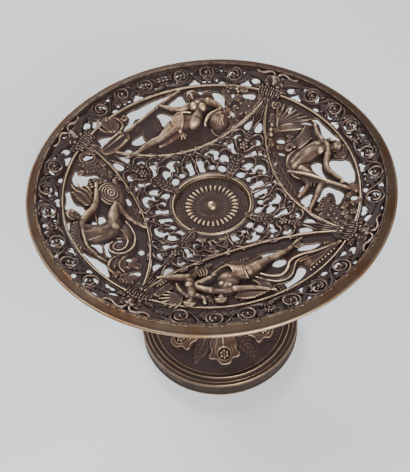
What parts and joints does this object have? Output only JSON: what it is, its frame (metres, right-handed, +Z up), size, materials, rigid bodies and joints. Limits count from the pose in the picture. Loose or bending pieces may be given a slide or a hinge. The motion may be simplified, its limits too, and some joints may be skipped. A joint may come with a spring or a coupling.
{
  "type": "openwork tazza",
  "caption": "Pierced bronze dish with scroll border and figure panels, on a turned stem and a round leaf-covered foot, tied together by one bolt.",
  "frame": {"origin": "on the ground, under the middle of the foot", "axes": "+Z up along the stem; the picture looks along +Y, down into the dish"},
  "size_m": [0.22, 0.22, 0.1632],
  "materials": {
    "rim_bronze": "brown patina, worn to gold at the edge",
    "dark_bronze": "dark brown patina in the recesses, rubbed on the high points",
    "figure_bronze": "brown patina, rubbed bright on raised forms",
    "polished_bronze": "worn bright",
    "stem_bronze": "brown patina"
  },
  "bodies": {
    "root": {"rim_band": "rim_bronze", "scroll_border": "dark_bronze", "arabesque_field": "dark_bronze", "strap_arc_right": "polished_bronze", "strap_arc_back": "polished_bronze", "strap_arc_left": "polished_bronze", "strap_arc_front": "polished_bronze", "frame_arc_right": "polished_bronze", "frame_arc_back": "polished_bronze", "frame_arc_left": "polished_bronze", "frame_arc_front": "polished_bronze", "figure_relief_right": "figure_bronze", "figure_relief_back": "figure_bronze", "figure_relief_left": "figure_bronze", "figure_relief_front": "figure_bronze", "knot_mask_1": "figure_bronze", "knot_mask_2": "figure_bronze", "knot_mask_3": "figure_bronze", "knot_mask_4": "figure_bronze", "medallion_ring": "polished_bronze", "medallion_clasp_1": "polished_bronze", "medallion_clasp_2": "polished_bronze", "medallion_clasp_3": "polished_bronze", "medallion_clasp_4": "polished_bronze", "medallion_plate": "figure_bronze", "tie_bolt": "polished_bronze", "dish_collar": "stem_bronze", "stem_calyx": "stem_bronze", "stem_knop": "stem_bronze", "stem_socket": "stem_bronze", "foot_cone": "dark_bronze", "foot_band": "rim_bronze", "foot_washer": "stem_bronze", "foot_nut": "stem_bronze"}
  },
  "joints": []
}
